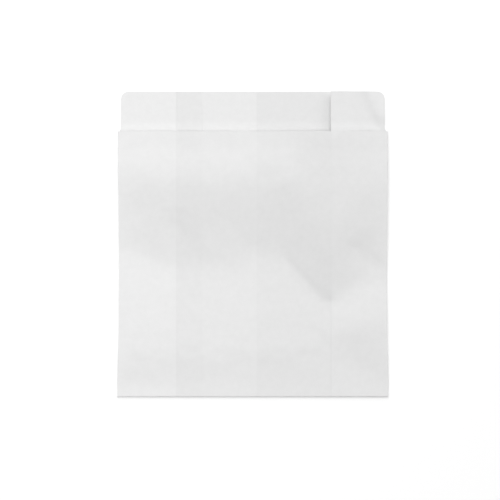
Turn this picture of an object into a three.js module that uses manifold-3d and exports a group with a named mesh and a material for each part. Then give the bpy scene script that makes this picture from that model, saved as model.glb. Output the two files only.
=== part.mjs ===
// Small white paper bag with folded-in sides, lying flat on its back.
// Millimetres: +X across the bag, +Y towards the open mouth, +Z up out of the front panel.
// The origin is on the table under the middle of the bag; sizes along the bag are counted
// from its bottom edge.
//
// The bag is one sheet of thin paper. It is wrapped into a tube with a lapped, glued seam
// down the back, its sides are folded inwards as gussets, the front is cut lower than the
// back at the mouth, and the bottom is turned over to the back and glued shut.
// The plies are first laid out evenly spaced, cut to outline, and then settled one on
// another the way the flat bag lies on a table.

import * as THREE from "three";
import { mergeVertices } from "three/addons/utils/BufferGeometryUtils.js";
import Module from "manifold-3d";

const wasm = await Module();
wasm.setup();

// The sheet
const paper = 0.08;

// The bag, pressed flat
const bagWidth = 180.8;
const frontEdge = 176.4;
const bagLength = 202.9;
const halfWidth = bagWidth / 2;

// The gussets: depth of the fold at each side
const leftGusset = 39.3;
const rightGusset = 37.9;

// The lap seam down the back
const seamInner = 2.5;
const seamLap = 35.9;
const seamOuter = seamInner - seamLap;
const seamStep = 0.3;
const glueFilm = 0.02;

// The lip: back and gussets standing above the cut front
const lipInset = 1.75;
const lipRadius = 5;
const shoulderDrop = 1.3;
const shoulderRise = 2.4;
const lipHalf = halfWidth - lipInset;

// The bottom: turned edge and the tab glued up the back
const turnReach = 0.4;
const turnDepth = 1.4;
const turnedEdge = 4.7;
const turnedSlope = 1;
const turnedPlies = 3;
const tabReach = 28;
const tabSlope = 9;
const weld = 0.01;

// How the sides draw in where the bag is not pinched flat
const waistPull = 0.0129;
const waistStart = 4;
const waistEnd = 50;
const mouthEase = 0.0022;
const mouthEaseStart = 110;

// How the plies lie: free space between front and back
const pinchedGap = 0.04;
const looseGap = 0.22;
const looseFrom = 3;
const looseBy = 30;
const panelLoft = 1.9;
const loftBy = 85;
const mouthLoft = 0.45;
const mouthReach = 50;

// Soft waves of the front panel: height, half width across the wave, and its two ends
const ridgeHeight = 0.45;
const ridgeWidth = 36;
const ridgeStart = new THREE.Vector2(-70, 78);
const ridgeEnd = new THREE.Vector2(-25, 70);
const hollowHeight = -0.4;
const hollowWidth = 34;
const hollowStart = new THREE.Vector2(10, 118);
const hollowEnd = new THREE.Vector2(62, 96);

// Ply levels of the evenly spaced layout, counted up from the table
const tabLevel = -1;
const backLevel = 0;
const lowerLevel = 1;
const upperLevel = 2;
const frontLevel = 3;
const foldRadius = (lowerLevel - backLevel) / 2;
const sideFold = halfWidth - paper / 2 - foldRadius;

// Fineness of the surfaces
const spanAcross = 9;
const spanAlong = 9;
const stepsTurn = 5;
const stepsRound = 10;
const stepsCorner = 6;
const roundTo = 1e-4;

// A smooth change from 0 to 1 between two places.
function ease(value, from, to) {
  return THREE.MathUtils.smoothstep(value, from, to);
}

// Points along a straight ply, the end point left out.
function straight(from, to) {
  const start = new THREE.Vector2(...from);
  const end = new THREE.Vector2(...to);
  const count = Math.max(1, Math.round(start.distanceTo(end) / spanAcross));
  return Array.from({ length: count }, (_, i) => start.clone().lerp(end, i / count));
}

// Points round a half-turn fold that climbs (or drops) one ply level, end point left out.
function turn(x, fromLevel, toLevel, outward) {
  const middle = (fromLevel + toLevel) / 2;
  const climb = toLevel - fromLevel;
  return Array.from({ length: stepsTurn }, (_, i) => {
    const angle = (Math.PI * i) / stepsTurn;
    const reach = outward * foldRadius * Math.sin(angle);
    return new THREE.Vector2(x + reach, middle - climb * foldRadius * Math.cos(angle));
  });
}

// The middle line of the sheet as seen from the mouth: from the seam up the left side.
function leftLine() {
  const foldIn = -(halfWidth - leftGusset) - paper / 2 - foldRadius;
  const jog = seamOuter - seamStep;
  return [
    ...straight([seamInner, lowerLevel], [seamOuter, lowerLevel]),
    ...straight([seamOuter, lowerLevel], [jog, lowerLevel]),
    ...straight([jog, lowerLevel], [jog, backLevel]),
    ...straight([jog, backLevel], [-sideFold, backLevel]),
    ...turn(-sideFold, backLevel, lowerLevel, -1),
    ...straight([-sideFold, lowerLevel], [foldIn, lowerLevel]),
    ...turn(foldIn, lowerLevel, upperLevel, 1),
    ...straight([foldIn, upperLevel], [-sideFold, upperLevel]),
    new THREE.Vector2(-sideFold, upperLevel),
  ];
}

// From the top of the right side down to the other edge of the seam. Its last stretch lies
// under the first stretch of the left side.
function rightLine() {
  const foldIn = halfWidth - rightGusset + paper / 2 + foldRadius;
  return [
    ...straight([sideFold, upperLevel], [foldIn, upperLevel]),
    ...turn(foldIn, upperLevel, lowerLevel, -1),
    ...straight([foldIn, lowerLevel], [sideFold, lowerLevel]),
    ...turn(sideFold, lowerLevel, backLevel, 1),
    ...straight([sideFold, backLevel], [seamInner, backLevel]),
    ...straight([seamInner, backLevel], [seamOuter, backLevel]),
    new THREE.Vector2(seamOuter, backLevel),
  ];
}

// The whole line round the bag, with the front between the two sides.
function wholeLine() {
  return [
    ...leftLine().slice(0, -1),
    ...turn(-sideFold, upperLevel, frontLevel, -1),
    ...straight([-sideFold, frontLevel], [sideFold, frontLevel]),
    ...turn(sideFold, frontLevel, upperLevel, 1),
    ...rightLine(),
  ];
}

// The line moved sideways by half the paper, mitred at its corners.
function offsetLine(line, distance) {
  return line.map((point, i) => {
    const before = line[Math.max(i - 1, 0)];
    const after = line[Math.min(i + 1, line.length - 1)];
    const inward = point.clone().sub(before);
    const onward = after.clone().sub(point);
    if (inward.lengthSq() === 0) inward.copy(onward);
    if (onward.lengthSq() === 0) onward.copy(inward);
    inward.normalize();
    onward.normalize();
    const mean = inward.clone().add(onward).normalize();
    const mitre = distance / mean.dot(inward);
    return new THREE.Vector2(point.x - mean.y * mitre, point.y + mean.x * mitre);
  });
}

// The cut end of the sheet: its middle line given the thickness of the paper.
function sheetSection(line) {
  const outer = offsetLine(line, -paper / 2);
  const inner = offsetLine(line, paper / 2);
  return new THREE.Shape([...outer, ...inner.reverse()]);
}

// The glue between the two seam plies.
function seamSection() {
  return new THREE.Shape([
    ...straight([seamOuter, backLevel], [seamInner, backLevel]),
    new THREE.Vector2(seamInner, backLevel),
    ...straight([seamInner, lowerLevel], [seamOuter, lowerLevel]),
    new THREE.Vector2(seamOuter, lowerLevel),
  ]);
}

// A section run along the bag from one height to another.
function alongBag(section, from, to) {
  const depth = to - from;
  const steps = Math.ceil(depth / spanAlong);
  const run = new THREE.ExtrudeGeometry(section, { depth, steps, bevelEnabled: false });
  return solid(run.rotateX(Math.PI / 2).translate(0, to, 0));
}

// A section run along the body, from the bottom turn over the turned edge to the front edge.
function alongBody(section) {
  const overTurn = alongBag(section, turnReach, turnedEdge);
  const downTurn = alongBag(section, turnedEdge, turnedEdge + turnedSlope);
  const panel = alongBag(section, turnedEdge + turnedSlope, frontEdge);
  return overTurn.add(downTurn).add(panel);
}

// The outline the sheet is cut to, seen from the front: shoulders, lip and round corners.
function cutOutline() {
  const beyond = halfWidth + 2;
  const shoulder = frontEdge - shoulderDrop;
  const neck = frontEdge + shoulderRise;
  const slope = (lipHalf - halfWidth) / (neck - shoulder);
  const outline = new THREE.Shape();
  outline.moveTo(-beyond, -2);
  outline.lineTo(beyond, -2);
  outline.lineTo(beyond, shoulder + (beyond - halfWidth) / slope);
  outline.lineTo(lipHalf, neck);
  outline.lineTo(lipHalf, bagLength - lipRadius);
  outline.absarc(lipHalf - lipRadius, bagLength - lipRadius, lipRadius, 0, Math.PI / 2);
  outline.lineTo(lipRadius - lipHalf, bagLength);
  outline.absarc(lipRadius - lipHalf, bagLength - lipRadius, lipRadius, Math.PI / 2, Math.PI);
  outline.lineTo(-lipHalf, neck);
  outline.lineTo(-beyond, shoulder + (beyond - halfWidth) / slope);
  return outline;
}

// The outline as a block standing through every ply.
function outlineBlock() {
  const depth = frontLevel - tabLevel + 2;
  const options = { depth, bevelEnabled: false, curveSegments: stepsCorner };
  return new THREE.ExtrudeGeometry(cutOutline(), options).translate(0, 0, tabLevel - 1);
}

// The bottom seen from the side: all plies turned round the edge, and the tab up the back.
function bottomSection() {
  const top = frontLevel + paper / 2 - weld;
  const under = tabLevel - paper / 2;
  const middle = (top + under) / 2;
  const round = Array.from({ length: stepsRound + 1 }, (_, i) => {
    const angle = Math.PI / 2 + (Math.PI * i) / stepsRound;
    const reach = turnReach * Math.cos(angle);
    return new THREE.Vector2(turnReach + reach, middle + (top - middle) * Math.sin(angle));
  });
  return new THREE.Shape([
    ...round,
    new THREE.Vector2(turnedEdge, under),
    ...straight([turnedEdge + turnedSlope, under], [tabReach, under]),
    new THREE.Vector2(tabReach, under),
    ...straight([tabReach, backLevel], [turnDepth, backLevel]),
    new THREE.Vector2(turnDepth, backLevel),
    new THREE.Vector2(turnDepth, top),
  ]);
}

// The bottom run across the bag.
function acrossBag(section) {
  const depth = 2 * sideFold;
  const steps = Math.round(depth / spanAcross);
  const run = new THREE.ExtrudeGeometry(section, { depth, steps, bevelEnabled: false });
  const alongX = new THREE.Vector3(1, 0, 0);
  const alongY = new THREE.Vector3(0, 1, 0);
  const alongZ = new THREE.Vector3(0, 0, 1);
  const turned = new THREE.Matrix4().makeBasis(alongY, alongZ, alongX);
  return run.applyMatrix4(turned).translate(-depth / 2, 0, 0);
}

// A closed geometry as a solid that can be joined and cut. Its points are rounded, so that
// runs that meet end to end share them.
function solid(geometry) {
  geometry.deleteAttribute("normal");
  geometry.deleteAttribute("uv");
  const merged = mergeVertices(geometry, roundTo);
  const places = merged.attributes.position.array;
  const vertProperties = places.map((value) => Math.round(value / roundTo) * roundTo);
  const triVerts = new Uint32Array(merged.index.array);
  return new wasm.Manifold(new wasm.Mesh({ numProp: 3, vertProperties, triVerts }));
}

// The whole sheet in its evenly spaced layout. Only back and gussets run on into the lip.
function laidOut() {
  const body = alongBody(sheetSection(wholeLine())).add(alongBody(seamSection()));
  const leftLip = alongBag(sheetSection(leftLine()), frontEdge, bagLength);
  const rightLip = alongBag(sheetSection(rightLine()), frontEdge, bagLength);
  const seamLip = alongBag(seamSection(), frontEdge, bagLength);
  const tube = body.add(leftLip).add(rightLip).add(seamLip);
  return tube.intersect(solid(outlineBlock())).add(solid(acrossBag(bottomSection())));
}

// Height of a soft wave at a place: full along its length, fading to both sides and ends.
function wave(x, y, height, width, start, end) {
  const place = new THREE.Vector2(x, y).sub(start);
  const run = end.clone().sub(start);
  const share = THREE.MathUtils.clamp(place.dot(run) / run.lengthSq(), 0, 1);
  const away = place.sub(run.multiplyScalar(share)).length() / width;
  return height * Math.exp(-away * away);
}

// Free space between the front ply and the back ply.
function freeSpace(x, y) {
  const loose = ease(y, looseFrom, looseBy);
  const rest = 2 * paper + 3 * THREE.MathUtils.lerp(pinchedGap, looseGap, loose);
  const across = 1 - ease(Math.abs(x), halfWidth * 0.35, halfWidth);
  const mouth = THREE.MathUtils.lerp(1, mouthLoft, ease(y, frontEdge - mouthReach, frontEdge));
  const along = ease(y, looseFrom, loftBy) * mouth * (1 - ease(y, frontEdge, bagLength));
  const waves =
    wave(x, y, ridgeHeight, ridgeWidth, ridgeStart, ridgeEnd) +
    wave(x, y, hollowHeight, hollowWidth, hollowStart, hollowEnd);
  return rest + (panelLoft + waves) * across * along;
}

// Underside of the back ply above the table: over the turned edge, the tab, then down.
function backHeight(y) {
  const overTurn = turnedPlies * paper * (1 - ease(y, turnedEdge, turnedEdge + turnedSlope));
  const overTab = paper * (1 - ease(y, tabReach, tabReach + tabSlope));
  return overTurn + overTab;
}

// Undersides of the plies at a place, from the tab up to the front.
function plyHeights(x, y) {
  const back = backHeight(y);
  const free = freeSpace(x, y);
  const inSeam = x > seamOuter - 2 && x < seamInner + 2;
  const gap = (free - 2 * paper) / 3;
  const lower = back + paper + (inSeam ? glueFilm : gap);
  const upper = lower + paper + gap;
  return [0, back, lower, upper, back + paper + free];
}

// A layout height brought down to where its ply lies; the paper keeps its thickness.
// The round of the bottom turn is brought down evenly, so that it stays round.
function settledHeight(x, y, z) {
  const heights = plyHeights(x, y);
  if (y < turnReach - weld) {
    const share = (z - tabLevel + paper / 2) / (frontLevel - tabLevel + paper);
    return share * (heights[frontLevel - tabLevel] + paper);
  }
  const level = THREE.MathUtils.clamp(Math.floor(z + paper / 2), tabLevel, frontLevel);
  const under = heights[level - tabLevel];
  const into = z - level + paper / 2;
  if (into <= paper || level === frontLevel) return under + into;
  const next = heights[level + 1 - tabLevel];
  return THREE.MathUtils.lerp(under + paper, next, (into - paper) / (1 - paper));
}

// The draw of the sides at a height on the bag.
function waist(y) {
  return 1 - waistPull * ease(y, waistStart, waistEnd) + mouthEase * ease(y, mouthEaseStart, frontEdge);
}

// The sheet settled on the table.
function bagGeometry() {
  const mesh = laidOut().getMesh();
  const settled = Float32Array.from(mesh.vertProperties);
  for (let i = 0; i < settled.length; i += 3) {
    const [x, y, z] = settled.slice(i, i + 3);
    settled[i] = x * waist(y);
    settled[i + 1] = y - bagLength / 2;
    settled[i + 2] = settledHeight(x, y, z);
  }
  const geometry = new THREE.BufferGeometry();
  geometry.setAttribute("position", new THREE.BufferAttribute(settled, 3));
  geometry.setIndex(new THREE.BufferAttribute(Uint32Array.from(mesh.triVerts), 1));
  geometry.computeVertexNormals();
  return geometry;
}

// Thin bleached paper, smooth on the outside.
function whitePaper() {
  const material = new THREE.MeshStandardMaterial({ color: 0xe9e9e7, roughness: 0.85, metalness: 0 });
  material.name = "white_paper";
  return material;
}

const bag = new THREE.Mesh(bagGeometry(), whitePaper());
bag.name = "paper_bag";

const group = new THREE.Group();
group.name = "small_paper_bag";
group.add(bag);

export default group;
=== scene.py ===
# %% [markdown]
# # A small white paper bag, lying flat
#
# The bag is one sheet of thin bleached paper. A bag machine wraps the sheet into a tube,
# laps and glues it down the back, tucks both sides inwards as gussets, cuts the front
# lower than the back at the mouth, and turns the bottom over and glues it.
#
# It could be modelled as a thin box, but then its edges and its mouth would show no
# plies. It could be simulated as cloth, but then the folds would not land on given
# lines. So the model is made as the machine makes the bag: a flat blank is laid out as a
# grid whose columns fall on the fold lines, the waste is cut away, every point is moved
# to where the folded paper lies, and last the sheet gets its thickness.

# %% Load the frame
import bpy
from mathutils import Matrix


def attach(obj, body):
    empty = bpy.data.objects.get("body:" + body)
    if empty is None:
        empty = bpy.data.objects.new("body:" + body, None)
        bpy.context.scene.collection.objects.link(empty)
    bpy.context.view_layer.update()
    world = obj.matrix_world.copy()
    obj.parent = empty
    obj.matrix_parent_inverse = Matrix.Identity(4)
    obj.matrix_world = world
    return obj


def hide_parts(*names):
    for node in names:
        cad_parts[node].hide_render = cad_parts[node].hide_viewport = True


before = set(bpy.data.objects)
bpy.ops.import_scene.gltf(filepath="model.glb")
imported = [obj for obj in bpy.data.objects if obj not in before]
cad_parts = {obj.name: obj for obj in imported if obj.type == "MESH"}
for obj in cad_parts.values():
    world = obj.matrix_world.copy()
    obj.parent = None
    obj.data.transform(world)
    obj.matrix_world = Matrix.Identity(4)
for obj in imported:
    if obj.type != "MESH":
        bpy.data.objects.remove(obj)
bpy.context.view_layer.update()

import math

import bmesh
import bpy
from mathutils import Vector, noise

# %% [markdown]
# ## Sizes
#
# Millimetres, in the frame of the CAD part: +X across the bag, +Y towards the mouth,
# +Z out of the front panel. Sizes along the bag are counted from its bottom edge, which
# lies half the bag's length below the origin. The size of the flat blank could be typed
# in, but it follows from the folded sizes, so it is worked out from them.

# %% Sizes
MM = 0.001

PAPER = 0.08
HALF_WIDTH = 90.4
FRONT_EDGE = 176.4
BAG_LENGTH = 202.9
LEFT_GUSSET = 39.3
RIGHT_GUSSET = 37.9
SEAM_INNER = 2.5
SEAM_OUTER = -33.4
LIP_HALF = 88.65
LIP_RADIUS = 5.0
SHOULDER_RISE = 2.4
TURNED_EDGE = 4.7
TAB_REACH = 28.0
TAB_SLOPE = 9.0

LEFT_FOLD = -(HALF_WIDTH - LEFT_GUSSET)
RIGHT_FOLD = HALF_WIDTH - RIGHT_GUSSET

print("gusset folds at x =", round(LEFT_FOLD, 1), "and", round(RIGHT_FOLD, 1), "mm")

# %% [markdown]
# ## Camera
#
# The photograph looks straight down on the bag from fairly far away, so that the far
# edge is no smaller than the near edge. An orthographic camera would do, but a long lens
# high above the table is what a photographer uses, and it keeps the little perspective
# that the photograph has.

# %% Camera
FIELD = 332.0
LENS = 85.0
SENSOR = 36.0
CENTRE_X = -1.9
CENTRE_Y = -3.8
FRONT_LEVEL = 1.5

camera_data = bpy.data.cameras.new("camera")
camera_data.lens = LENS
camera_data.sensor_width = SENSOR
camera = bpy.data.objects.new("camera", camera_data)
bpy.context.scene.collection.objects.link(camera)
camera_height = FIELD * LENS / SENSOR
camera.location = (CENTRE_X * MM, CENTRE_Y * MM, (camera_height + FRONT_LEVEL) * MM)
bpy.context.scene.camera = camera

print("camera", round(camera_height), "mm above the bag")

# %% [markdown]
# ## Helpers for soft shapes
#
# Paper that has been folded and handled keeps soft hollows, ridges and creases. They
# could be sculpted by hand, but a script can't be sculpted again when a size changes.
# So each is one of a few smooth shapes, placed at a named place.

# %% Soft shapes
def ease(value, start, end):
    """A smooth change from 0 to 1 between two places."""
    share = min(1.0, max(0.0, (value - start) / (end - start)))
    return share * share * (3.0 - 2.0 * share)


def mix(a, b, share):
    """The value a given share of the way from a to b."""
    return a + (b - a) * share


def from_segment(x, y, start, end):
    """Signed distance of a point from a segment, positive on its left."""
    run_x = end[0] - start[0]
    run_y = end[1] - start[1]
    length = math.hypot(run_x, run_y)
    along = ((x - start[0]) * run_x + (y - start[1]) * run_y) / (length * length)
    side = (run_x * (y - start[1]) - run_y * (x - start[0])) / length
    beyond = max(0.0, -along, along - 1.0) * length
    return math.copysign(math.hypot(side, beyond), side)


def bump(x, y, centre, radius):
    """A round soft swelling of height 1, with a radius along X and one along Y."""
    away_x = (x - centre[0]) / radius[0]
    away_y = (y - centre[1]) / radius[1]
    return math.exp(-away_x * away_x - away_y * away_y)


def crease(x, y, start, end, left_width, right_width):
    """A fold line of height 1 that falls off over its own width on each side."""
    away = from_segment(x, y, start, end)
    width = left_width if away > 0 else right_width
    return 1.0 / math.cosh(away / width)


def wavy(x, y, size, seed):
    """Irregular waves between about -1 and 1, with a size along X and one along Y."""
    return noise.noise(Vector((x / size[0], y / size[1], seed)))


print("ease(0.5) =", ease(0.5, 0, 1))

# %% [markdown]
# ## The bend across the front
#
# The front has been bent once across its middle. The bend runs from side to side, and on
# the right it is a sharp diagonal fold that ends on the edge of the right gusset. Above
# it the panel rises in a long slope and comes down again at the mouth. One straight
# crease would be too stiff, so the bend is a line with its own place and softness at
# each x, and the slope starts from it.

# %% Bend and long rise
# Distance of the bend from the bottom edge, and where across the bag it changes
BEND_AT_SIDE = 97.5
BEND_LOWEST = 86.0
LEFT_CHANGE = (-92.0, -46.0)
BEND_MIDDLE = 93.5
MIDDLE_CHANGE = (-20.0, 20.0)
BEND_TIP = 63.5
DIAGONAL_START = 20.5
DIAGONAL_RUN = 28.0
BEND_RISE = 17.0
RIGHT_CHANGE = (52.0, 86.0)

# Width over which the bend is rounded, and where across the bag it changes
SHARP_BEND = 1.5
SOFT_BEND = 5.0
SOFTER_AT = (-62.0, -38.0)
DIAGONAL_BEND = 1.2
SHARPER_AT = (8.0, 26.0)
RIGHT_BEND = 6.0
SOFT_AGAIN_AT = (52.0, 66.0)

# The long rise above the bend
PANEL_LOFT = 2.4
LOFT_REACH = 62.0
MOUTH_LOFT = 0.42
FALL_START = 140.0
FALL_END = FRONT_EDGE + 2.0
OPEN_SIDE = 0.45
OPEN_SIDE_AT = (10.0, 50.0)
CLOSED_AGAIN = 0.6
DIAGONAL_STEP = 0.36
STEP_REACH = 3.5
STEP_BEGINS_AT = (12.0, 26.0)
STEP_ENDS_AT = (50.0, 58.0)


def bend_line(x):
    """Distance of the bend from the bottom edge, at a place across the bag."""
    left = mix(BEND_AT_SIDE, BEND_LOWEST, ease(x, *LEFT_CHANGE))
    middle = mix(left, BEND_MIDDLE, ease(x, *MIDDLE_CHANGE))
    down = min(1.0, max(0.0, (x - DIAGONAL_START) / DIAGONAL_RUN))
    return mix(middle, BEND_TIP, down) + BEND_RISE * ease(x, *RIGHT_CHANGE)


def bend_softness(x):
    """How softly the bend is rounded: sharp along the diagonal, soft elsewhere."""
    middle = mix(SHARP_BEND, SOFT_BEND, ease(x, *SOFTER_AT))
    diagonal = mix(middle, DIAGONAL_BEND, ease(x, *SHARPER_AT))
    return diagonal + RIGHT_BEND * ease(x, *SOFT_AGAIN_AT)


def bulge(x, y):
    """The front above the bend: a long rise, then down again to the mouth."""
    above = y - bend_line(x)
    rise = 0.5 * (above + math.hypot(above, bend_softness(x)))
    climb = math.sin(0.5 * math.pi * min(1.0, rise / LOFT_REACH))
    past_fold = 1.0 - CLOSED_AGAIN * ease(x, RIGHT_FOLD, HALF_WIDTH)
    open_side = OPEN_SIDE * ease(x, *OPEN_SIDE_AT) * past_fold
    mouth = mix(1.0, MOUTH_LOFT + open_side, ease(y, FALL_START, FALL_END))
    on_diagonal = ease(x, *STEP_BEGINS_AT) * (1.0 - ease(x, *STEP_ENDS_AT))
    step = DIAGONAL_STEP * (1.0 - math.exp(-rise / STEP_REACH)) * on_diagonal
    return (PANEL_LOFT * climb + step) * mouth


for x in (-90, -46, 0, 48, 86):
    print("bend at x =", x, "lies", round(bend_line(x), 1), "mm from the bottom edge")

# %% [markdown]
# ## The lower half and the small marks
#
# Below the bend the front has a low crest, higher at the sides where the gussets hold it
# up. Hands have left small creases and dents, and the glue of the tab behind has wetted
# and shrunk the paper in a row near the bottom. A noise texture alone would spread such
# marks evenly, which real ones never are, so each has its own place, and noise only adds
# to the row of glue marks.

# %% Crest, creases and glue marks
LOW_LOFT = 0.50
LOW_START = 6.0
LOW_CREST = 34.0
LOW_FALL = 34.0
RIGHT_SIDE = (36.0, 80.0)
RIGHT_MORE = 1.1
RIGHT_CREST = 12.0
LEFT_SIDE = (-80.0, -40.0)
LEFT_MORE = 0.6

# Depth, start, end, width on the left of the line, width on its right
HANDLING_CREASES = (
    (-0.22, (-50.0, 112.0), (-38.0, 94.0), 3.0, 6.0),
    (-0.36, (71.0, 98.0), (88.0, 84.0), 3.4, 5.5),
    (-0.45, (60.0, 28.0), (88.0, 0.0), 8.0, 14.0),
    (0.10, (-60.0, 126.5), (-44.0, 126.0), 0.9, 0.7),
    (-0.18, (-20.0, 118.0), (0.0, 100.0), 4.0, 7.0),
    (-0.22, (50.2, 4.0), (51.4, 64.0), 2.4, 0.8),
)
MOUTH_DENT = -0.20
MOUTH_DENT_AT = (8.0, 146.0)
MOUTH_DENT_RADIUS = (9.0, 6.0)

# Share of the full depth, centre, radius along X and along Y
GLUE_DENTS = (
    (1.0, (-44.0, 30.0), (6.0, 3.2)),
    (0.4, (-66.0, 29.0), (5.0, 3.0)),
    (0.5, (-19.0, 29.5), (4.0, 2.6)),
    (0.7, (4.5, 28.5), (2.5, 2.6)),
    (0.7, (17.0, 29.0), (3.0, 3.0)),
    (0.8, (36.0, 27.5), (9.0, 5.0)),
)
GLUE_DEPTH = -0.18
GLUE_ROW = 27.0
GLUE_ROW_WIDTH = 5.0
GLUE_WAVES = 0.10
GLUE_WAVE_SIZE = (7.0, 6.0)
GLUE_WAVE_SEED = 3.0


def low_swell(x, y):
    """The lower half: a low crest near the bottom, sinking gently to the bend."""
    right = ease(x, *RIGHT_SIDE)
    left = 1.0 - ease(x, *LEFT_SIDE)
    crest_at = LOW_CREST + RIGHT_CREST * right
    fall = 1.0 - ease(y, crest_at, max(bend_line(x), crest_at + LOW_FALL))
    height = LOW_LOFT * (1.0 + RIGHT_MORE * right + LEFT_MORE * left)
    return height * ease(y, LOW_START, crest_at) * fall


def creases(x, y):
    """Small folds and dents left by handling."""
    folds = sum(depth * crease(x, y, *line) for depth, *line in HANDLING_CREASES)
    return folds + MOUTH_DENT * bump(x, y, MOUTH_DENT_AT, MOUTH_DENT_RADIUS)


def glue_marks(x, y):
    """Small dents where the glue of the tab behind has wetted and shrunk the paper."""
    dents = sum(share * bump(x, y, centre, radius) for share, centre, radius in GLUE_DENTS)
    row = math.exp(-(((y - GLUE_ROW) / GLUE_ROW_WIDTH) ** 2))
    waves = wavy(x, y, GLUE_WAVE_SIZE, GLUE_WAVE_SEED)
    return GLUE_DEPTH * dents + GLUE_WAVES * row * waves


print("handling creases:", len(HANDLING_CREASES), "and glue dents:", len(GLUE_DENTS))

# %% [markdown]
# ## The space between front and back
#
# The back rests on the table and is flat. The front stands a little off it: the gussets
# hold it up at the sides, and the glued bottom pinches it down. All the shapes above are
# added up here to one height, the free space under the front, because the plies of the
# gussets share that same space. The height is kept above zero by a soft limit, not a
# hard one, so that the front never cuts through the plies and never gets a sharp kink.

# %% Free space
PINCHED_GAP = 0.015
LOOSE_GAP = 0.12
LIP_GAP = 0.01
GLUED_TO = 3.0
LOOSE_FROM = 24.0
LIP_PRESSED = 5.0
SIDE_LOFT = 0.65
SIDE_REACH = 20.0
MARKS_END = 0.92 * HALF_WIDTH
STEP_HEIGHT = 2.0 * PAPER
STEP_WIDTH = 0.7
STEP_LOOSE = 20.0
WAVE_HEIGHT = 0.09
WAVE_SIZE = (15.0, 13.0)
WAVE_SEED = 7.0
SOFT_LIMIT = 0.15
SPRING = 2.2
SPRING_START = 26.0
SPRING_FULL = 4.0
SPRING_REACH = 26.0


def sprung(x, y):
    """How far the right gusset has sprung up at the mouth, highest at its fold."""
    if x <= 0.0:
        return 0.0
    out = ease(y, FRONT_EDGE - SPRING_START, FRONT_EDGE - SPRING_FULL)
    up_to_fold = ease(x, SPRING_REACH, RIGHT_FOLD)
    return SPRING * out * up_to_fold * (1.0 - ease(x, RIGHT_FOLD, LIP_HALF))


def free_space(x, y):
    """Free space between the front and the back of the bag."""
    loose = ease(y, GLUED_TO, LOOSE_FROM)
    lip = ease(y, FRONT_EDGE, FRONT_EDGE + LIP_PRESSED)
    rest = 2.0 * PAPER + 3.0 * mix(mix(PINCHED_GAP, LOOSE_GAP, loose), LIP_GAP, lip)
    side = mix(1.0, SIDE_LOFT, ease(abs(x), HALF_WIDTH - SIDE_REACH, HALF_WIDTH))
    near_side = 1.0 - ease(abs(x), MARKS_END, HALF_WIDTH)
    over_fold = 1.0 - ease(x, LEFT_FOLD - STEP_WIDTH, LEFT_FOLD + STEP_WIDTH)
    over_fold += ease(x, RIGHT_FOLD - STEP_WIDTH, RIGHT_FOLD + STEP_WIDTH)
    step = STEP_HEIGHT * over_fold * ease(y, GLUED_TO, STEP_LOOSE)
    waves = WAVE_HEIGHT * wavy(x, y, WAVE_SIZE, WAVE_SEED) * loose
    small = (creases(x, y) + glue_marks(x, y) + waves) * near_side * loose
    soft = ((bulge(x, y) + low_swell(x, y)) * side + step + small) * (1.0 - lip)
    return rest + 0.5 * (soft + math.hypot(soft, SOFT_LIMIT * loose))


for place in ((0, 170), (0, 130), (0, 92), (0, 60), (51, 65), (-70, 60), (0, 20), (0, 0)):
    print("front over back at", place, "=", round(free_space(*place), 2), "mm")

# %% [markdown]
# ## Heights of the plies
#
# Four plies lie one on another at the sides, two in the middle. At the bottom they all
# turn round the edge, back ply innermost and front ply outermost, and the front ply's
# tab runs on up the back, so the bag stands a few plies off the table there. In the
# lip, the fold of the right gusset has sprung up a little. Each ply could be a mesh of
# its own, but the real plies are one sheet, so one function gives the height of any ply
# at any place and the sheet is never cut between them.

# %% Heights of the plies
BACK, LAP, LOWER, UPPER, FRONT = range(5)
MOUTH_BOW = 0.20
BOW_BEFORE = 14.0
BOW_BEYOND = 7.0
LIP_CREASE = 0.55
LIP_CREASE_LINE = ((75.5, 206.0), (88.5, 179.0), 5.0, 1.6)
LIP_CREASE_RISE = 12.0
LOWER_SPRING = 0.75
LOWER_CREASE = 0.9
GUSSET_PRESSED = 40.0
PLY_PITCH = PAPER + PINCHED_GAP
TURN_HEIGHT = 4.0 * PLY_PITCH
STEP_DOWN = (TURNED_EDGE - 0.5, TURNED_EDGE + 3.5)
FRONT_STEP_DOWN = (2.5, LOOSE_FROM)


def back_height(y, step_down=STEP_DOWN):
    """Underside of the back ply above the table. It steps down past the turned edge."""
    over_turn = (TURN_HEIGHT - PLY_PITCH) * (1.0 - ease(y, *step_down))
    over_tab = PLY_PITCH * (1.0 - ease(y, TAB_REACH, TAB_REACH + TAB_SLOPE))
    return over_turn + over_tab


def lip_crease(x, y):
    """The right corner of the lip has been bent once along a diagonal."""
    rise = ease(y, FRONT_EDGE, FRONT_EDGE + LIP_CREASE_RISE)
    return LIP_CREASE * rise * crease(x, y, *LIP_CREASE_LINE)


def mouth_bow(y):
    """The back bows up a little at the mouth."""
    rise = ease(y, FRONT_EDGE - BOW_BEFORE, FRONT_EDGE)
    return MOUTH_BOW * rise * (1.0 - ease(y, FRONT_EDGE, FRONT_EDGE + BOW_BEYOND))


def ply_height(ply, x, y):
    """Height of the middle of a ply above the table."""
    back = back_height(y) + PAPER / 2.0 + mouth_bow(y)
    if ply == BACK:
        return back
    if ply == LAP:
        return back + PAPER + LIP_GAP
    free = free_space(x, y)
    if ply == FRONT:
        return back + PAPER + free + back_height(y, FRONT_STEP_DOWN) - back_height(y)
    even_gap = (free - 2.0 * PAPER) / 3.0
    gap = mix(even_gap, LIP_GAP, ease(y, FRONT_EDGE - GUSSET_PRESSED, FRONT_EDGE))
    if ply == LOWER:
        raised = LOWER_SPRING * sprung(x, y) + LOWER_CREASE * lip_crease(x, y)
        return back + PAPER + gap + raised
    return back + 2.0 * (PAPER + gap) + sprung(x, y) + lip_crease(x, y)


print("back stands", round(back_height(0.0), 2), "mm high on the turned edge")

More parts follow.
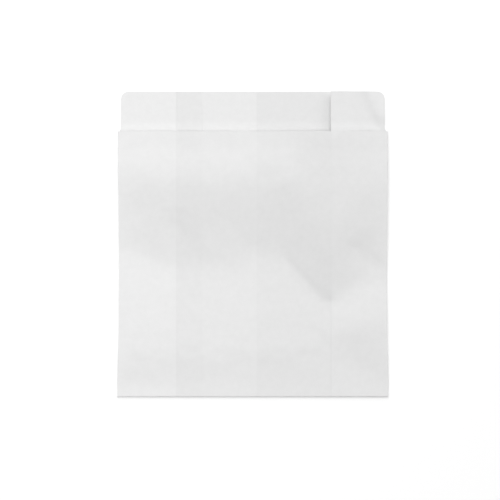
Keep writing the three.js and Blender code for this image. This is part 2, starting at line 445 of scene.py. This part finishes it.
# %% [markdown]
# ## The columns of the blank
#
# Each column of the flat grid is a line along the bag. It belongs to a ply, or lies in
# the bend between two plies. An even grid would need very many columns to have one on
# every fold, so the columns are chosen: close together in the bends and where the lip is
# rounded, and about two millimetres apart elsewhere. At the outer edge of the seam the
# lap steps down beside the other edge of the sheet and goes on as the back.

# %% Columns
SPAN = 2.0
BEND_STEPS = 6
SIDE_ROUND = 0.35
NEAR_FOLD = (0.0, 0.6, 1.2, 2.0, 3.0, 4.4)
NEAR_REACH = 6.0
LAP_END = SEAM_OUTER - 0.4
BACK_START = SEAM_OUTER - 0.9
SIDE = HALF_WIDTH - SIDE_ROUND


def ply_columns(ply, start, end):
    """Columns of one ply from one place to another, close together near its ends."""
    way = 1.0 if end > start else -1.0
    inner_start = start + way * NEAR_REACH
    inner_end = end - way * NEAR_REACH
    count = max(1, round(abs(inner_end - inner_start) / SPAN))
    first = [start + way * s for s in NEAR_FOLD]
    middle = [mix(inner_start, inner_end, i / count) for i in range(count + 1)]
    last = [end - way * s for s in reversed(NEAR_FOLD)]
    return [(ply, ply, x, 0.0, way) for x in first + middle + last]


def bend_columns(ply, next_ply, x, way):
    """Columns of the half turn that joins two plies."""
    angles = [math.pi * (i + 1) / (BEND_STEPS + 1) for i in range(BEND_STEPS)]
    return [(ply, next_ply, x, angle, way) for angle in angles]


columns = []
columns += ply_columns(LAP, SEAM_INNER, LAP_END)
columns += ply_columns(BACK, BACK_START, -SIDE)
columns += bend_columns(BACK, LOWER, -SIDE, -1.0)
columns += ply_columns(LOWER, -SIDE, LEFT_FOLD)
columns += bend_columns(LOWER, UPPER, LEFT_FOLD, 1.0)
columns += ply_columns(UPPER, LEFT_FOLD, -SIDE)
columns += bend_columns(UPPER, FRONT, -SIDE, -1.0)
columns += ply_columns(FRONT, -SIDE, SIDE)
columns += bend_columns(FRONT, UPPER, SIDE, 1.0)
columns += ply_columns(UPPER, SIDE, RIGHT_FOLD)
columns += bend_columns(UPPER, LOWER, RIGHT_FOLD, -1.0)
columns += ply_columns(LOWER, RIGHT_FOLD, SIDE)
columns += bend_columns(LOWER, BACK, SIDE, 1.0)
columns += ply_columns(BACK, SIDE, SEAM_OUTER)

print("columns:", len(columns))

# %% [markdown]
# ## The rows, and the flat blank
#
# A row is a line across the bag. Rows below zero are paper that goes round the bottom
# edge. They lie close together there, where the paper turns sharply, and at the cut edge
# of the front. One grid operator then makes the whole blank, and each of its points is
# noted down with its column and row. Its "air" layer will hold how far the front stands
# off the plies below. A layer has to be made before any point is noted down.

# %% Rows and blank
LIP_SPAN = 1.5
TURNED_SPAN = 0.7
TURNED_ROWS = 6
TURN_START = -0.9
TURN_SPAN = 0.15
TURN_ROWS = 13
PINCHED_START = 1.4
PINCHED_ROWS = 8
BODY_START = TURNED_EDGE + 2.0
BODY_END = FRONT_EDGE - 0.6
SHOULDER_ROWS = 3

rows = [-TAB_REACH + SPAN * i for i in range(round(TAB_REACH / SPAN) - 2)]
rows += [-TURNED_EDGE + TURNED_SPAN * i for i in range(TURNED_ROWS)]
rows += [TURN_START + TURN_SPAN * i for i in range(TURN_ROWS)]
rows += [mix(PINCHED_START, BODY_START, i / PINCHED_ROWS) for i in range(PINCHED_ROWS)]
body_rows = round((FRONT_EDGE - BODY_START) / SPAN)
rows += [mix(BODY_START, BODY_END, i / body_rows) for i in range(body_rows + 1)]
lip_start = FRONT_EDGE + SHOULDER_RISE
rows += [mix(FRONT_EDGE, lip_start, i / SHOULDER_ROWS) for i in range(SHOULDER_ROWS + 1)]
lip_rows = round((BAG_LENGTH - FRONT_EDGE - SHOULDER_RISE) / LIP_SPAN)
rows += [mix(lip_start, BAG_LENGTH, (i + 1) / lip_rows) for i in range(lip_rows)]

sheet = bmesh.new()
air = sheet.verts.layers.float.new("air")
segments = {"x_segments": len(columns) - 1, "y_segments": len(rows) - 1}
bmesh.ops.create_grid(sheet, size=1.0, **segments)
by_place = sorted(sheet.verts, key=lambda v: (round(v.co.y, 6), round(v.co.x, 6)))
cell_of = {}
for index, vert in enumerate(by_place):
    cell_of[vert] = (index % len(columns), index // len(columns))

print("blank:", len(columns), "columns,", len(rows), "rows,", len(sheet.faces), "faces")

# %% [markdown]
# ## Cutting the blank
#
# The front is cut straight across at the mouth, with the side folds. The lip's plies
# are trimmed a little inside the side folds. At the bottom only the front ply has a
# tab; the other plies end with the turned edge. A Boolean could cut these shapes out,
# but all cuts run along rows and columns, so deleting faces leaves a cleaner edge.

# %% Cut the blank
def is_waste(face):
    """True for a piece of the blank that the bag machine cuts away."""
    cells = [cell_of[v] for v in face.verts]
    middle_row = sum(rows[r] for _, r in cells) / len(cells)
    plies = [columns[c][0] for c, _ in cells] + [columns[c][1] for c, _ in cells]
    over_side = any(columns[c][3] > 0.0 and abs(columns[c][2]) > SIDE - 0.1 for c, _ in cells)
    if middle_row > FRONT_EDGE and (FRONT in plies or over_side):
        return True
    in_front = all(ply == FRONT for ply in plies)
    return middle_row < -TURNED_EDGE and not in_front


waste = [face for face in sheet.faces if is_waste(face)]
bmesh.ops.delete(sheet, geom=waste, context="FACES")

print("cut away", len(waste), "faces,", len(sheet.faces), "left")

# %% [markdown]
# ## Where a point of the blank goes
#
# A point's column says in which ply or bend it lies, its row how far along the bag.
# Rows below the bottom edge go round the turn: a half circle about the innermost ply,
# and then back up under the bag. The turn is pressed flat, so it is squashed. The rows
# are drawn together a very little towards the mouth, which leaves room for the turn
# within the bag's length. The lip's corners are rounded by drawing its rows back near
# them. Folding the blank step by step with rotations would pile up small errors; this
# puts each point in its place at once.

# %% Folded places
TURN_SQUASH = 0.45
PRESSED_OVER = 1.5
FOLD_REACH = 0.45
TRIM_START = HALF_WIDTH - 12.0
TRIM_BEFORE = 0.6
WAIST = 0.0129
WAIST_FROM = (4.0, 50.0)
WAIST_EASED = 0.0022
WAIST_EASED_FROM = (110.0, FRONT_EDGE)
EDGE_SHIFT = 4.0 * PLY_PITCH


def lip_top(x):
    """How far the rounded corners of the lip stand back from its top edge."""
    into = abs(x) - (LIP_HALF - LIP_RADIUS)
    if into <= 0.0:
        return 0.0
    return LIP_RADIUS - math.sqrt(max(0.0, LIP_RADIUS**2 - min(into, LIP_RADIUS) ** 2))


def lip_side(x, y):
    """Brings the lip's plies in from the side folds, with a slant at the shoulder."""
    if y <= FRONT_EDGE or abs(x) < TRIM_START:
        return x
    inset = (SIDE - LIP_HALF) * min(1.0, (y - FRONT_EDGE + TRIM_BEFORE) / SHOULDER_RISE)
    share = (abs(x) - TRIM_START) / (SIDE - TRIM_START)
    return math.copysign(abs(x) - inset * share, x)


def waist(y):
    """How far the sides draw in where the bag isn't pinched flat."""
    drawn_in = WAIST * ease(y, *WAIST_FROM) - WAIST_EASED * ease(y, *WAIST_EASED_FROM)
    return 1.0 - drawn_in


def turned(below, z):
    """Where a point goes that lies below the bottom edge: round the turn, or behind it."""
    middle = back_height(0.0) - PINCHED_GAP / 2.0
    radius = z - middle
    turn = below / radius
    if turn < math.pi:
        return -TURN_SQUASH * radius * math.sin(turn), middle + radius * math.cos(turn)
    y = below - math.pi * radius
    pressed = ease(y, TURNED_EDGE, TURNED_EDGE + PRESSED_OVER)
    return y, mix(middle - radius, PAPER / 2.0, pressed)


def folded(column, row):
    """Where a point of the flat blank lies in the folded bag."""
    ply, next_ply, x, angle, way = columns[column]
    y = max(0.0, rows[row])
    z = ply_height(ply, x, y)
    if angle > 0.0:
        z_next = ply_height(next_ply, x, y)
        x += way * min(abs(z_next - z) / 2.0, FOLD_REACH) * math.sin(angle)
        z = mix(z, z_next, (1.0 - math.cos(angle)) / 2.0)
    if rows[row] < 0.0:
        y, z = turned(-rows[row], z)
    if y > FRONT_EDGE:
        x = lip_side(x, y)
        share = (y - lip_start) / (BAG_LENGTH - lip_start)
        y -= lip_top(x) * max(0.0, share) ** 2
    along_bag = y * (1.0 - EDGE_SHIFT / BAG_LENGTH) + EDGE_SHIFT
    return Vector((x * waist(y), along_bag, z))


print("the sides draw in to", round(HALF_WIDTH * waist(80.0), 1), "mm from the middle")

# %% [markdown]
# ## Folding it
#
# Every point is moved to its folded place. The front's points also note how much air is
# below them, for a painted shade that makes the paper greyer over a gap; near the mouth
# a painted light takes some of that shade back. The grid doesn't know which of its sides
# is the outside of the bag, so the normals are made to agree and then turned if need be.

# %% Fold the blank
AIR_FROM = 0.5
AIR_FULL = 3.0
# Painted light at the mouth, which takes back part of the painted shade over gaps
LIGHT_REACH = 165.0
LIGHT_SHARE = 0.6

for vert in sheet.verts:
    column, row = cell_of[vert]
    if columns[column][:2] == (FRONT, FRONT) and rows[row] > 0.0:
        space = free_space(columns[column][2], rows[row])
        mouth_painted_light = 1.0 - LIGHT_SHARE * ease(rows[row], LIGHT_REACH, FRONT_EDGE)
        vert[air] = ease(space, AIR_FROM, AIR_FULL) * mouth_painted_light
    place = folded(column, row)
    vert.co = (place.x * MM, (place.y - BAG_LENGTH / 2.0) * MM, place.z * MM)
bmesh.ops.recalc_face_normals(sheet, faces=sheet.faces)
top_face = max(sheet.faces, key=lambda f: f.calc_center_median().z)
if top_face.normal.z < 0.0:
    bmesh.ops.reverse_faces(sheet, faces=sheet.faces)

highest = max(v.co.z for v in sheet.verts) / MM
print("folded bag is", round(highest, 2), "mm high")

# %% [markdown]
# ## Giving the sheet its thickness
#
# The folded sheet is the middle of the paper. It could be extruded by hand, but Solidify
# gives it the thickness of the paper, half to each side, with a rim round every cut
# edge. The rims are cut square, so their edges are sharp, while the folds are rounded
# and stay smooth. The thickness is a little less than the paper's, so that pressed plies
# lie close to each other and don't touch.

# %% Thickness
SHARP_ANGLE = math.radians(50.0)
MODEL_THICKNESS = 0.8 * PAPER

middle_mesh = bpy.data.meshes.new("sheet_middle")
sheet.to_mesh(middle_mesh)
sheet.free()
middle = bpy.data.objects.new("sheet_middle", middle_mesh)
bpy.context.scene.collection.objects.link(middle)
thickness = middle.modifiers.new("paper thickness", "SOLIDIFY")
thickness.thickness = MODEL_THICKNESS * MM
thickness.offset = 0.0
thickness.use_even_offset = True

graph = bpy.context.evaluated_depsgraph_get()
bag_mesh = bpy.data.meshes.new_from_object(middle.evaluated_get(graph))
bag_mesh.name = "paper_bag_sheet"
bpy.data.objects.remove(middle)
bag_mesh.shade_smooth()
bag_mesh.set_sharp_from_angle(angle=SHARP_ANGLE)

print("sheet mesh:", len(bag_mesh.vertices), "vertices,", len(bag_mesh.polygons), "faces")

# %% [markdown]
# ## Putting the sheet in place
#
# The sheet takes the place of the CAD part's only node and belongs to its only body.

bag = bpy.data.objects.new("paper_bag_sheet", bag_mesh)
bpy.context.scene.collection.objects.link(bag)

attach(bag, "root")
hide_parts("paper_bag")

# %% [markdown]
# ## Helpers for materials
#
# A material is a small tree of nodes. Its colours are written as sRGB hex values, as in
# a paint program, and shaders need linear light, so one function turns them. Another
# adds a node with its settings, and links an input where it is given another node's
# output.

# %% Material helpers
WHITE = "#dcdcdc"


def linear(hex_colour):
    """An sRGB hex colour as linear RGBA."""
    values = [int(hex_colour[i:i + 2], 16) / 255.0 for i in (1, 3, 5)]
    parts = [v / 12.92 if v <= 0.04045 else ((v + 0.055) / 1.055) ** 2.4 for v in values]
    return (*parts, 1.0)


def add_node(tree, kind, inputs=None, **settings):
    """A new node with its settings, and its inputs set or linked by name."""
    node = tree.nodes.new(kind)
    for name, value in settings.items():
        setattr(node, name, value)
    for name, value in (inputs or {}).items():
        if isinstance(value, bpy.types.NodeSocket):
            tree.links.new(value, node.inputs[name])
        else:
            node.inputs[name].default_value = value
    return node


print("paper white in linear light:", [round(v, 3) for v in linear(WHITE)])

# %% [markdown]
# ## Paper: clouds and fibres
#
# Thin bleached kraft paper. Held to the light it is cloudy: over a few millimetres the
# fibres lie thicker or thinner, and the eye sees soft spots of grey. Single fibres are
# only hundredths of a millimetre wide, too fine for the render, so they are drawn as
# flecks of 0.7 mm. A picture of real paper would show the same, but noise on the piece's
# own coordinates has no seams and no edges.

# %% Clouds and fibres
CLOUD_SIZE = 4.0
FIBRE_SIZE = 0.7

paper = bpy.data.materials.new("bleached kraft paper")
paper.use_nodes = True
tree = paper.node_tree
tree.nodes.clear()

place = add_node(tree, "ShaderNodeTexCoord").outputs["Object"]
axes = add_node(tree, "ShaderNodeSeparateXYZ", {"Vector": place})
across, along = axes.outputs["X"], axes.outputs["Y"]
clouds = add_node(
    tree, "ShaderNodeTexNoise",
    {"Vector": place, "Scale": 1000.0 / CLOUD_SIZE, "Detail": 3.0, "Roughness": 0.55},
).outputs["Fac"]
fibres = add_node(
    tree, "ShaderNodeTexNoise",
    {"Vector": place, "Scale": 1000.0 / FIBRE_SIZE, "Detail": 2.0, "Roughness": 0.6},
).outputs["Fac"]

print("noise scales:", 1000.0 / CLOUD_SIZE, "and", round(1000.0 / FIBRE_SIZE), "per metre")

# %% [markdown]
# ## Paper: plies that show through
#
# The sheet is so thin that the plies below show through: the edges of the gussets and of
# the back seam are faint straight steps in tone through the front, and clearer ones in
# the lip. Light that passes through the sheet could be traced, but through four plies
# that is slow and full of noise. So each edge is a painted step of tone of its own: one
# ramp across the bag, whose height is another ramp that changes from the front to the
# lip. Below the bend a thin painted shade also runs along the right gusset's fold, where
# the front dips.

# %% Ply edges
# Place, half width of the step, change of tone in the front and in the lip
PLY_EDGES = (
    (LEFT_FOLD, 0.3, -0.038, -0.045),
    (SEAM_OUTER, 1.2, 0.014, 0.030),
    (SEAM_INNER, 0.3, -0.020, -0.040),
    (RIGHT_FOLD, 0.4, 0.014, 0.015),
)
LIP_LINE = FRONT_EDGE - BAG_LENGTH / 2.0
LIP_LINE_SOFT = 0.4
PAINTED_FOLD_SHADE = -0.022
SHADE_WIDTH = 2.2
SHADE_FULL = 0.4
SHADE_SHARP = 0.3
SHADE_FADES = (-38.0, -32.0)


def ramp(source, start_mm, end_mm, low, high):
    """Settings of a Map Range node that goes smoothly from low to high."""
    ends = {"From Min": start_mm * MM, "From Max": end_mm * MM}
    return {"Value": source, "To Min": low, "To Max": high, **ends}


smooth = {"interpolation_type": "SMOOTHSTEP"}
kind = "ShaderNodeMapRange"
# A thin painted shade along the right gusset's fold, below the bend
shade = add_node(tree, kind, ramp(along, *SHADE_FADES, PAINTED_FOLD_SHADE, 0.0), **smooth).outputs[0]
shade_start, shade_end = RIGHT_FOLD - SHADE_WIDTH, RIGHT_FOLD - SHADE_FULL
shade = add_node(tree, kind, ramp(across, shade_start, shade_end, 0.0, shade), **smooth).outputs[0]
fold_start, fold_end = RIGHT_FOLD - SHADE_SHARP, RIGHT_FOLD + SHADE_SHARP
steps = add_node(tree, kind, ramp(across, fold_start, fold_end, shade, 0.0), **smooth).outputs[0]

lip_ends = (LIP_LINE - LIP_LINE_SOFT, LIP_LINE + LIP_LINE_SOFT)
# Painted steps of tone where the edges of the plies show through
for x, soft, in_front, in_lip in PLY_EDGES:
    change = add_node(tree, kind, ramp(along, *lip_ends, in_front, in_lip), **smooth)
    step_ends = ramp(across, x - soft, x + soft, 0.0, change.outputs[0])
    step = add_node(tree, kind, step_ends, **smooth)
    both = {0: steps, 1: step.outputs[0]}
    steps = add_node(tree, "ShaderNodeMath", both, operation="ADD").outputs[0]

print("ply edges that show through:", len(PLY_EDGES))

# %% [markdown]
# ## Paper: tone and surface
#
# Where the front stands clear of the plies below, less light would come back through it,
# so a painted shade makes it a little greyer there and the steps fade. All changes of tone
# are added to 1 and multiply the white. The surface is matt with a faint sheen: cellulose
# has an index of refraction of about 1.5, but pores break up its reflection, so the
# specular level is half of the usual one.

# %% Tone and surface
CLOUD_TONE = 0.034
FIBRE_TONE = 0.012
# Painted shade: the front greyer where it stands clear of the plies below
AIR_PAINTED_SHADE = -0.05
AIR_FADES_STEPS = -0.3
ROUGHNESS = 0.52
CLOUD_ROUGHNESS = 0.12

air_below = add_node(tree, "ShaderNodeAttribute", attribute_name="air").outputs["Fac"]
contact = add_node(
    tree, "ShaderNodeMath",
    {0: air_below, 1: AIR_FADES_STEPS, 2: 1.0},
    operation="MULTIPLY_ADD",
).outputs[0]
tone = 1.0 - CLOUD_TONE - FIBRE_TONE
for source, amount in (
    (clouds, 2.0 * CLOUD_TONE),
    (fibres, 2.0 * FIBRE_TONE),
    (air_below, AIR_PAINTED_SHADE),
    (steps, contact),
):
    terms = {0: source, 1: amount, 2: tone}
    tone = add_node(tree, "ShaderNodeMath", terms, operation="MULTIPLY_ADD").outputs[0]
colour = add_node(
    tree, "ShaderNodeVectorMath",
    {0: linear(WHITE)[:3], "Scale": tone},
    operation="SCALE",
).outputs[0]
relief = add_node(
    tree, "ShaderNodeBump",
    {"Height": fibres, "Strength": 0.10, "Distance": 0.03 * MM},
).outputs["Normal"]
rough = add_node(
    tree, "ShaderNodeMath",
    {0: clouds, 1: CLOUD_ROUGHNESS, 2: ROUGHNESS},
    operation="MULTIPLY_ADD",
).outputs[0]
shader = add_node(
    tree, "ShaderNodeBsdfPrincipled",
    {"Base Color": colour, "Roughness": rough, "Normal": relief, "Specular IOR Level": 0.25},
)
add_node(tree, "ShaderNodeOutputMaterial", {"Surface": shader.outputs[0]})
bag_mesh.materials.append(paper)

print("paper material:", len(tree.nodes), "nodes")

# %% [markdown]
# ## Table
#
# The photograph was taken on a white table that is lit so brightly that it shows no
# tone of its own, and that makes the bag's shadow on it weak and soft. A very white
# table under the same lights gives a shadow that is too dark. So the table is a light
# grey that also glows a little, like the lit tables that small goods are photographed
# on.

# %% Table
TABLE_HALF = 2.0
TABLE_GREY = "#d1d1d1"
TABLE_GLOW = 0.30

table_mesh = bpy.data.meshes.new("table")
table_shape = bmesh.new()
bmesh.ops.create_grid(table_shape, x_segments=1, y_segments=1, size=TABLE_HALF)
table_shape.to_mesh(table_mesh)
table_shape.free()
table = bpy.data.objects.new("table", table_mesh)
bpy.context.scene.collection.objects.link(table)

white_table = bpy.data.materials.new("white table")
white_table.use_nodes = True
table_shader = white_table.node_tree.nodes["Principled BSDF"]
table_shader.inputs["Base Color"].default_value = linear(TABLE_GREY)
table_shader.inputs["Roughness"].default_value = 0.9
table_shader.inputs["Specular IOR Level"].default_value = 0.1
table_shader.inputs["Emission Color"].default_value = linear("#ffffff")
table_shader.inputs["Emission Strength"].default_value = TABLE_GLOW
table_mesh.materials.append(white_table)

print("table", 2.0 * TABLE_HALF, "m wide")

# %% [markdown]
# ## Light
#
# The relief of the bag is only a few millimetres high. Light from straight above would
# hide it, and a small lamp from the side would make it look like hills at sunset. The
# light that fits the photograph is large and soft and comes rather low from beyond the
# mouth, so slopes that face the mouth are brighter and slopes that face the bottom are
# greyer. A weaker light stands over the bag on the left, and a weak low one on the right
# casts the thin shadow beside the sprung gusset.

# %% Lights
LIGHTS = (
    ("key light", (-0.20, 3.60, 1.95), 3.8, 262.0),
    ("top light", (-0.70, -0.30, 0.95), 0.8, 5.3),
    ("side light", (1.50, 1.00, 0.50), 0.5, 9.6),
)
ROOM_LIGHT = 0.26

for name, position, size, power in LIGHTS:
    data = bpy.data.lights.new(name, "AREA")
    data.size = size
    data.energy = power
    light = bpy.data.objects.new(name, data)
    light.location = position
    light.rotation_euler = (-Vector(position)).to_track_quat("-Z", "Y").to_euler()
    bpy.context.scene.collection.objects.link(light)

world = bpy.data.worlds.new("studio")
world.use_nodes = True
background = world.node_tree.nodes["Background"]
background.inputs["Color"].default_value = linear("#ffffff")
background.inputs["Strength"].default_value = ROOM_LIGHT
bpy.context.scene.world = world
bpy.context.scene.view_settings.view_transform = "Standard"

print("lights:", ", ".join(light[0] for light in LIGHTS))
